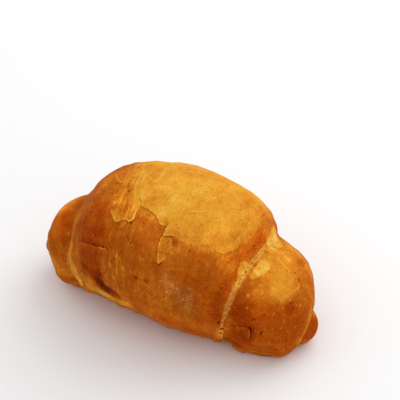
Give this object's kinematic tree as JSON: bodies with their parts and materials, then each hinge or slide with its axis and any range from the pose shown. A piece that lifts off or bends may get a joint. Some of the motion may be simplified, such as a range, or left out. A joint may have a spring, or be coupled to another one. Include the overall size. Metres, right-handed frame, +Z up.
{
  "type": "continental roll",
  "caption": "Baked bread roll wound from a triangle of dough: a fat middle wrap, spiral creases and tapering ends with small round tips, lying on a flat base.",
  "frame": {"origin": "centre of the bounding box's bottom, on the surface that the roll lies on", "axes": "+X along the roll, towards the end whose tip shows in the picture, +Y to its back, +Z up"},
  "size_m": [0.147, 0.0806, 0.0739],
  "materials": {
    "crust": "satin, browned bread crust"
  },
  "bodies": {
    "root": {"roll": "crust"}
  },
  "joints": []
}
